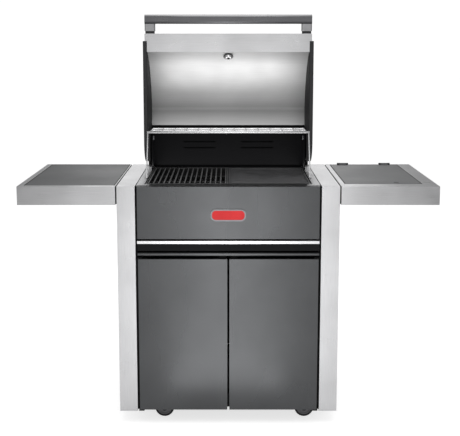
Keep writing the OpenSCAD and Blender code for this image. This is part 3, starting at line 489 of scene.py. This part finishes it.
def paint_gas_line():
    """The side burner's pipe is copper, and the inlet fitting is brass."""
    pipe_x = high("knob_side").x - 9 * MM
    paint("gas_manifold", COPPER, lambda centre, normal: centre.x > pipe_x)
    fitting_y = high("gas_manifold").y - 21 * MM
    fitting_x = INLET_X - 20 * MM
    paint("gas_manifold", BRASS, lambda centre, normal: centre.y > fitting_y and centre.x > fitting_x)


finish_nodes()
paint_shelves()
paint_grill()
paint_handle()
paint_leg_gap_shade()
paint_hood()
paint_bracket_feet()
paint_badge()
paint_wheels()
paint_gas_line()


# ---- Fine pieces ----


def new_piece(name, bm, material, body, soft=0.0):
    """Makes a smooth-shaded piece from bm that rides on a body."""
    mesh = bpy.data.meshes.new(name)
    bmesh.ops.recalc_face_normals(bm, faces=bm.faces)
    bm.to_mesh(mesh)
    bm.free()
    mesh.materials.append(material)
    mesh.shade_smooth()
    mesh.set_sharp_from_angle(angle=SHARP_ANGLE)
    piece = bpy.data.objects.new(name, mesh)
    bpy.context.scene.collection.objects.link(piece)
    if soft:
        add_soft_edges(piece, soft)
    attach(piece, body)


def pointing(at, axis):
    """A place at `at` whose Z points along axis."""
    return Matrix.Translation(at) @ Vector(axis).to_track_quat("Z", "Y").to_matrix().to_4x4()


# What a ring of a turned profile is: a circle, or a polygon with that many flats.
ROUND = 0
HEXAGON = 6


def turned(bm, profile, place, sides=24):
    """Turns rings of (radius, height, flats) round Z, each a circle or a polygon."""
    rings = []
    for radius, height, flats in profile:
        ring = []
        for i in range(sides):
            angle = 2 * math.pi * i / sides
            reach = radius
            if flats:
                sector = 2 * math.pi / flats
                reach = radius / math.cos(angle % sector - sector / 2)
            x = reach * math.cos(angle)
            y = reach * math.sin(angle)
            ring.append(bm.verts.new(place @ Vector((x, y, height))))
        rings.append(ring)
    for lower, upper in zip(rings, rings[1:]):
        for i in range(sides):
            j = (i + 1) % sides
            bm.faces.new((lower[i], lower[j], upper[j], upper[i]))
    bm.faces.new(rings[0][::-1])
    bm.faces.new(rings[-1])


def button_head(radius):
    """A domed screw head with a hexagon socket."""
    return [
        (radius, -0.1 * radius, ROUND),
        (radius, 0.25 * radius, ROUND),
        (0.85 * radius, 0.5 * radius, ROUND),
        (0.5 * radius, 0.62 * radius, ROUND),
        (0.4 * radius, 0.62 * radius, HEXAGON),
        (0.36 * radius, 0.2 * radius, HEXAGON),
    ]


def bolt_head(across):
    """A flanged hexagon head."""
    half = across / 2
    return [
        (half * 1.35, -0.1 * half, ROUND),
        (half * 1.35, 0.2 * half, ROUND),
        (half * 1.15, 0.3 * half, ROUND),
        (half, 0.35 * half, HEXAGON),
        (half, 0.95 * half, HEXAGON),
        (half * 0.85, 1.1 * half, ROUND),
    ]


def fasteners(name, head, places, axis):
    """Zinc-plated screws or bolts of the trolley, all pointing along axis, as one piece."""
    bm = bmesh.new()
    for at in places:
        turned(bm, head, pointing(at, axis))
    new_piece(name, bm, ZINC, "trolley")


def slab(bm, outline, place, thickness):
    """Extrudes an outline of (x, y) points along the place's Z."""
    base = [bm.verts.new(place @ Vector((x, y, 0))) for x, y in outline]
    top = [bm.verts.new(place @ Vector((x, y, thickness))) for x, y in outline]
    bm.faces.new(base[::-1])
    bm.faces.new(top)
    count = len(outline)
    for i in range(count):
        j = (i + 1) % count
        bm.faces.new((base[i], base[j], top[j], top[i]))


def flat_ring(bm, lowest, highest, width, thickness):
    """A flat rectangular ring, its outer edge from lowest to highest and its underside at lowest.z."""
    loops = []
    for z in (lowest.z, lowest.z + thickness):
        for inset in (0, width):
            x = (lowest.x + inset, highest.x - inset)
            y = (lowest.y + inset, highest.y - inset)
            corners = ((x[0], y[0]), (x[1], y[0]), (x[1], y[1]), (x[0], y[1]))
            loops.append([bm.verts.new((cx, cy, z)) for cx, cy in corners])
    outer_low, inner_low, outer_high, inner_high = loops
    for first, second in ((outer_low, inner_low), (outer_high, inner_high), (outer_low, outer_high),
                          (inner_low, inner_high)):
        for i in range(4):
            j = (i + 1) % 4
            bm.faces.new((first[i], first[j], second[j], second[i]))


def rounded_outline(width, length, radius, steps=5):
    """A centred rectangle with round corners."""
    points = []
    for corner, (sx, sy) in enumerate(((1, 1), (-1, 1), (-1, -1), (1, -1))):
        cx = sx * (width / 2 - radius)
        cy = sy * (length / 2 - radius)
        for i in range(steps + 1):
            angle = math.pi / 2 * (corner + i / steps)
            points.append((cx + radius * math.cos(angle), cy + radius * math.sin(angle)))
    return points


def make_back_screws():
    """A column of screws down each side of the cabinet's back."""
    rows = 4
    margin = 30 * MM
    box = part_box("cabinet_back")
    x = box[1][0] - 18 * MM
    y = box[1][1]
    first_z = box[0][2] + margin
    last_z = box[1][2] - margin
    places = []
    for _, side in SIDES:
        for row in range(rows):
            z = first_z + row * (last_z - first_z) / (rows - 1)
            places.append((side * x, y, z))
    fasteners("back_panel_screws", button_head(4 * MM), places, (0, 1, 0))


def make_rear_panel_screws():
    """A row of screws along the foot of the panel behind the hood."""
    columns = (-0.29, -0.10, 0.10, 0.29)
    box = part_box("rear_hood_panel")
    y = box[1][1]
    z = box[0][2] + 30 * MM
    fasteners("rear_panel_screws", button_head(4 * MM), [(x, y, z) for x in columns], (0, 1, 0))


def make_rim_upstands():
    """A small flange behind each rim, below the hood's sweep, that closes the corner by the pivot."""
    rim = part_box("cooktop_rims")
    inner = high("rear_hood_panel").x
    width = rim[1][0] - inner
    height = 34 * MM
    below_rim = 6 * MM
    x = inner + width / 2
    y = rim[1][1] + 2 * MM
    z = rim[0][2] + height / 2 - below_rim
    for word, side in SIDES:
        bm = bmesh.new()
        slab(bm, rounded_outline(width, height, 3 * MM), pointing((side * x, y, z), (0, -1, 0)), 1.2 * MM)
        new_piece("rim_upstand_" + word, bm, PANEL_BLACK, "trolley", soft=0.3 * MM)


def make_seals():
    """Black sealing strips round the side burner's lid and the left shelf's panel."""
    strip = 3 * MM
    proud = 0.3 * MM
    # The lid's top and its rear edge both lie 4 mm from the axis of its hinge.
    axis_to_lid = 4 * MM
    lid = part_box("side_burner_lid")
    axis = joint("side_lid_hinge")["pos_m"]
    top = axis[2] - axis_to_lid
    bm = bmesh.new()
    flat_ring(bm, Vector((*lid[0][:2], top)), Vector((lid[1][0], axis[1] - axis_to_lid, top)), strip, proud)
    new_piece("lid_seal", bm, RUBBER_BLACK, "side_lid")
    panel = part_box("shelf_insert_left")
    bm = bmesh.new()
    flat_ring(bm, Vector((panel[0][0], panel[0][1], panel[1][2])), Vector(panel[1]), strip, proud)
    new_piece("panel_seal", bm, RUBBER_BLACK, "trolley")


def make_door_stop():
    """The plate under the cabinet's floor that both doors close against, with its two screws."""
    width = 56 * MM
    sheet = 1.5 * MM
    screw_pitch = 36 * MM
    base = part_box("cabinet_base")
    bottom = low("door_left").z + 3 * MM
    top = base[1][2]
    height = top - bottom
    front = base[0][1]
    centre = (0, front, bottom + height / 2)
    bm = bmesh.new()
    slab(bm, rounded_outline(width, height, 4 * MM), pointing(centre, (0, -1, 0)), sheet)
    new_piece("door_stop", bm, PANEL_BLACK, "trolley", soft=0.3 * MM)
    places = [(side * screw_pitch / 2, front - sheet, top - 9 * MM) for _, side in SIDES]
    fasteners("door_stop_screws", button_head(3.5 * MM), places, (0, -1, 0))


def make_caster_bolts():
    """Four bolts round each caster's swivel, under its plate."""
    reach = 22 * MM
    pin_from_end = 20 * MM
    plate_z = 0.097
    places = []
    for corner in CORNERS:
        fork = "caster_fork_" + corner
        pin_x = low(fork).x + pin_from_end
        pin_y = middle(fork).y
        for sx in (-1, 1):
            for sy in (-1, 1):
                places.append((pin_x + sx * reach, pin_y + sy * reach, plate_z))
    fasteners("caster_bolts", bolt_head(8 * MM), places, (0, 0, -1))


def make_brake_pedals():
    """A ribbed foot lever at the trailing end of each front caster's fork."""
    hinge_z = 83.5 * MM
    slope = math.radians(14)
    ribs = 4
    first_rib = 12 * MM
    rib_pitch = 4.5 * MM
    for corner in ("fl", "fr"):
        fork = "caster_fork_" + corner
        bm = bmesh.new()
        hinge = Vector((high(fork).x - 4 * MM, middle(fork).y, hinge_z))
        place = Matrix.Translation(hinge) @ Matrix.Rotation(slope, 4, "Y")
        outline = [(x + 14 * MM, y) for x, y in rounded_outline(34 * MM, 24 * MM, 8 * MM)]
        slab(bm, outline, place, 2.5 * MM)
        for rib in range(ribs):
            at = place @ Matrix.Translation((first_rib + rib * rib_pitch, 0, 2 * MM))
            slab(bm, rounded_outline(2 * MM, 18 * MM, 0.9 * MM), at, 1.3 * MM)
        new_piece("brake_pedal_" + corner, bm, KNOB, "caster_" + corner, soft=0.4 * MM)


def make_pivot_caps():
    """A domed cap over each end of the hood's pivots."""
    end_x = high("hood_pivots").x
    at_y, at_z = joint("hood_hinge")["pos_m"][1:]
    dome = [
        (11 * MM, -1 * MM, ROUND),
        (11 * MM, 1.5 * MM, ROUND),
        (9 * MM, 3 * MM, ROUND),
        (5 * MM, 4 * MM, ROUND),
        (1.5 * MM, 4.3 * MM, ROUND),
    ]
    for word, side in SIDES:
        bm = bmesh.new()
        turned(bm, dome, pointing((side * end_x, at_y, at_z), (side, 0, 0)), sides=32)
        new_piece("pivot_cap_" + word, bm, KNOB, "hood")


def make_knob_marks():
    """A white pointer on each knob's face."""
    above_centre = 11 * MM
    for name, body in KNOB_BODIES.items():
        centre = middle(name)
        bm = bmesh.new()
        at = (centre.x, low(name).y, centre.z + above_centre)
        slab(bm, rounded_outline(1.8 * MM, 13 * MM, 0.8 * MM), pointing(at, (0, -1, 0)), 0.35 * MM)
        new_piece(name + "_pointer", bm, WHITE, body)


def make_panel_marks():
    """Around each knob, marks that grow from low to high."""
    marks = 9
    reach = 28 * MM
    face_y = low("control_panel").y
    bm = bmesh.new()
    for name in KNOB_BODIES:
        centre = middle(name)
        for i in range(marks):
            angle = math.radians(60 - i * 30)
            at = (centre.x + reach * math.cos(angle), face_y, centre.z + reach * math.sin(angle))
            length = (2.5 + 0.5 * i) * MM
            place = pointing(at, (0, -1, 0)) @ Matrix.Rotation(math.pi / 2 - angle, 4, "Z")
            slab(bm, rounded_outline(1.4 * MM, length, 0.6 * MM, steps=3), place, 0.3 * MM)
    new_piece("panel_marks", bm, WHITE, "trolley")


GAUGE = joint("gauge_needle_turn")
GAUGE_PLACE = pointing(GAUGE["pos_m"], [-value for value in GAUGE["axis"]])
DIAL_Z = 4 * MM
GLASS_Z = (9.9 * MM, 11.6 * MM)
BEZEL_INNER_R = 27 * MM
WASHER_Z = -54 * MM


def paint_thermometer():
    """Its glass, its white dial, its black washer inside the hood and its probe."""
    back_to_gauge = GAUGE_PLACE.inverted()
    slack = 0.2 * MM

    def local(centre):
        return back_to_gauge @ centre

    def on_glass(centre, normal):
        at = local(centre)
        return GLASS_Z[0] < at.z < GLASS_Z[1] and math.hypot(at.x, at.y) < BEZEL_INNER_R + slack

    def on_dial(centre, normal):
        at = local(centre)
        return abs(at.z - DIAL_Z) < slack and math.hypot(at.x, at.y) < BEZEL_INNER_R

    def on_washer(centre, normal):
        return WASHER_Z - MM < local(centre).z < WASHER_Z + 3 * MM

    def on_probe(centre, normal):
        return local(centre).z < WASHER_Z - 6.5 * MM

    paint("thermometer", GLASS, on_glass)
    paint("thermometer", WHITE, on_dial)
    paint("thermometer", KNOB, on_washer)
    # Painted shade: the probe, whose end stands out of the cap's hole, is black for the dark in that hole.
    paint("thermometer", PANEL_BLACK, on_probe)


def make_dial_marks():
    """Marks round the dial, every fifth one longer."""
    marks = 51
    first = math.radians(-35)
    sweep = math.radians(250)
    bm = bmesh.new()
    for i in range(marks):
        angle = first + sweep * i / (marks - 1)
        long = i % 5 == 0
        length = (4.2 if long else 2.2) * MM
        width = (0.9 if long else 0.45) * MM
        x = length / 2
        y = width / 2
        reach = BEZEL_INNER_R - 2 * MM - x
        at = GAUGE_PLACE @ Matrix.Rotation(angle, 4, "Z") @ Matrix.Translation((reach, 0, DIAL_Z))
        slab(bm, [(-x, -y), (x, -y), (x, y), (-x, y)], at, 0.25 * MM)
    new_piece("dial_marks", bm, KNOB, "hood")


def make_gauge_cap():
    """A pressed steel cap over the nut that holds the thermometer, inside the hood."""
    dome = [
        (17 * MM, 0, ROUND),
        (17 * MM, 2 * MM, ROUND),
        (15.5 * MM, 5 * MM, ROUND),
        (12 * MM, 7.5 * MM, ROUND),
        (8.5 * MM, 8.3 * MM, ROUND),
        (7.5 * MM, 8 * MM, ROUND),
        (7 * MM, 5 * MM, ROUND),
    ]
    at = GAUGE_PLACE @ Vector((0, 0, WASHER_Z))
    bm = bmesh.new()
    turned(bm, dome, pointing(at, GAUGE["axis"]), sides=40)
    new_piece("gauge_cap", bm, BRIGHT_STEEL, "hood")


def make_inlet_nut():
    """The hexagon at the foot of the gas inlet's pin."""
    pin_length = 20 * MM
    half = 12 * MM
    at = (INLET_X, high("gas_manifold").y - pin_length, INLET_Z)
    nut = [
        (half, -8 * MM, HEXAGON),
        (half, 0, HEXAGON),
        (10.6 * MM, 0.8 * MM, ROUND),
        (8 * MM, 0.8 * MM, ROUND),
    ]
    bm = bmesh.new()
    turned(bm, nut, pointing(at, (0, 1, 0)), sides=36)
    new_piece("inlet_nut", bm, BRASS, "trolley", soft=0.5 * MM)


def make_electrodes():
    """A spark electrode beside each main burner, on a ceramic sleeve."""
    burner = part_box("burners")
    beside_burner = 36 * MM
    y = burner[0][1] + 55 * MM
    foot_z = 0.846
    sleeve = [
        (3.2 * MM, 0, ROUND),
        (3.2 * MM, 26 * MM, ROUND),
        (2.2 * MM, 30 * MM, ROUND),
        (0.9 * MM, 30 * MM, ROUND),
        (0.9 * MM, 38 * MM, ROUND),
        (0.4 * MM, 40 * MM, ROUND),
    ]
    bm = bmesh.new()
    for name in MAIN_KNOBS:
        at = (middle(name).x + beside_burner, y, foot_z)
        turned(bm, sleeve, Matrix.Translation(at), sides=16)
    new_piece("spark_electrodes", bm, WHITE, "trolley")


paint_thermometer()
make_back_screws()
make_rear_panel_screws()
make_rim_upstands()
make_seals()
make_door_stop()
make_caster_bolts()
make_brake_pedals()
make_pivot_caps()
make_knob_marks()
make_panel_marks()
make_dial_marks()
make_gauge_cap()
make_inlet_nut()
make_electrodes()


# ---- Studio ----

EYE = Vector((0, -3.41, 1.508))
PITCH = math.radians(7.64)
SHIFT = (0.0037, -0.15)
# The lens, in pixels of a picture VIEW_PX wide.
FOCAL_PX = 841.9
VIEW_PX = 460
SENSOR_MM = 36


def make_camera():
    """A camera on the object's middle plane, pitched down, at the photo's viewing angle."""
    data = bpy.data.cameras.new("camera")
    data.sensor_width = SENSOR_MM
    data.lens = FOCAL_PX / VIEW_PX * SENSOR_MM
    data.shift_x, data.shift_y = SHIFT
    camera = bpy.data.objects.new("camera", data)
    camera.location = EYE
    camera.rotation_euler = (math.pi / 2 - PITCH, 0, 0)
    bpy.context.scene.collection.objects.link(camera)
    bpy.context.scene.camera = camera


def soft_box(name, at, target, size, brightness):
    """A rectangular light panel that the camera doesn't see. brightness is its radiance."""
    data = bpy.data.lights.new(name, "AREA")
    data.shape = "RECTANGLE"
    data.size, data.size_y = size
    data.energy = brightness * math.pi * size[0] * size[1]
    light = bpy.data.objects.new(name, data)
    light.location = at
    light.rotation_euler = (Vector(target) - Vector(at)).to_track_quat("-Z", "Y").to_euler()
    light.visible_camera = False
    bpy.context.scene.collection.objects.link(light)


# The world lights the object at AMBIENT and shows at BACKDROP, as a lit studio wall does. The floor shows
# brighter than it lights the object, by FLOOR_LIFT.
AMBIENT = 0.34
BACKDROP = 1.05
FLOOR_LIFT = 0.7


def make_world():
    """A white surround, of one strength for the camera and another for light."""
    world = bpy.data.worlds.new("studio")
    world.use_nodes = True
    tree = world.node_tree
    background = tree.nodes["Background"]
    background.inputs["Color"].default_value = (1, 1, 1, 1)
    rays = tree.nodes.new("ShaderNodeLightPath")
    strength = tree.nodes.new("ShaderNodeMapRange")
    strength.inputs["To Min"].default_value = AMBIENT
    strength.inputs["To Max"].default_value = BACKDROP
    tree.links.new(rays.outputs["Is Camera Ray"], strength.inputs["Value"])
    tree.links.new(strength.outputs["Result"], background.inputs["Strength"])
    bpy.context.scene.world = world


def make_floor():
    """A wide pale floor of plain paint."""
    half = 30
    mesh = bpy.data.meshes.new("floor")
    corners = [(-half, -half, 0), (half, -half, 0), (half, half, 0), (-half, half, 0)]
    mesh.from_pydata(corners, [], [(0, 1, 2, 3)])
    floor = bpy.data.objects.new("floor", mesh)
    bpy.context.scene.collection.objects.link(floor)
    surface = Surface("floor_paint", specular=0.1)
    cloud = surface.level(surface.noise(1.5), 0, 1)
    surface.color(surface.blend(cloud, (0.93, 0.93, 0.93), (0.95, 0.95, 0.95)))
    surface.shader.inputs["Roughness"].default_value = 0.9
    surface.shader.inputs["Emission Color"].default_value = (1, 1, 1, 1)
    rays = surface.node("ShaderNodeLightPath")
    lift = surface.node("ShaderNodeMath", operation="MULTIPLY")
    lift.inputs[1].default_value = FLOOR_LIFT
    surface.link(rays.outputs["Is Camera Ray"], lift.inputs[0])
    surface.link(lift.outputs["Value"], surface.shader.inputs["Emission Strength"])
    mesh.materials.append(surface.material)


def make_studio():
    """Soft panels round the object; each has a place, a point that it faces, a size and a brightness."""
    bpy.context.scene.view_settings.view_transform = "Standard"
    make_world()
    make_floor()
    # The doors and the front cover mirror these four.
    soft_box("front_wide", (0, -3.25, 0.95), (0, 0, 0.95), (1.7, 1.8), 0.88)
    soft_box("front_narrow", (0, -3.2, 0.25), (0, 0, 0.25), (0.5, 0.5), 3.7)
    soft_box("floor_wide", (0, -1.75, 0.012), (0, -1.75, 1), (1.75, 2.8), 0.39)
    soft_box("floor_narrow", (0, -1.87, 0.014), (0, -1.87, 1), (0.5, 2.54), 1.75)
    # These light the object as a whole.
    soft_box("overhead", (0, -0.3, 3.6), (0, 0, 0.9), (3.0, 3.0), 0.75)
    soft_box("high_front", (0, -2.0, 3.7), (0, 0.05, 1.55), (2.4, 1.6), 1.2)
    soft_box("back", (0, 3.6, 2.2), (0, 0, 0.9), (2.6, 1.6), 0.95)
    # Hidden just above the cooking plates, this one lights the liner of the open hood.
    soft_box("hood_fill", (0, 0.075, 0.950), (0, 0.075, 2), (0.62, 0.27), 2.15)


make_camera()
make_studio()
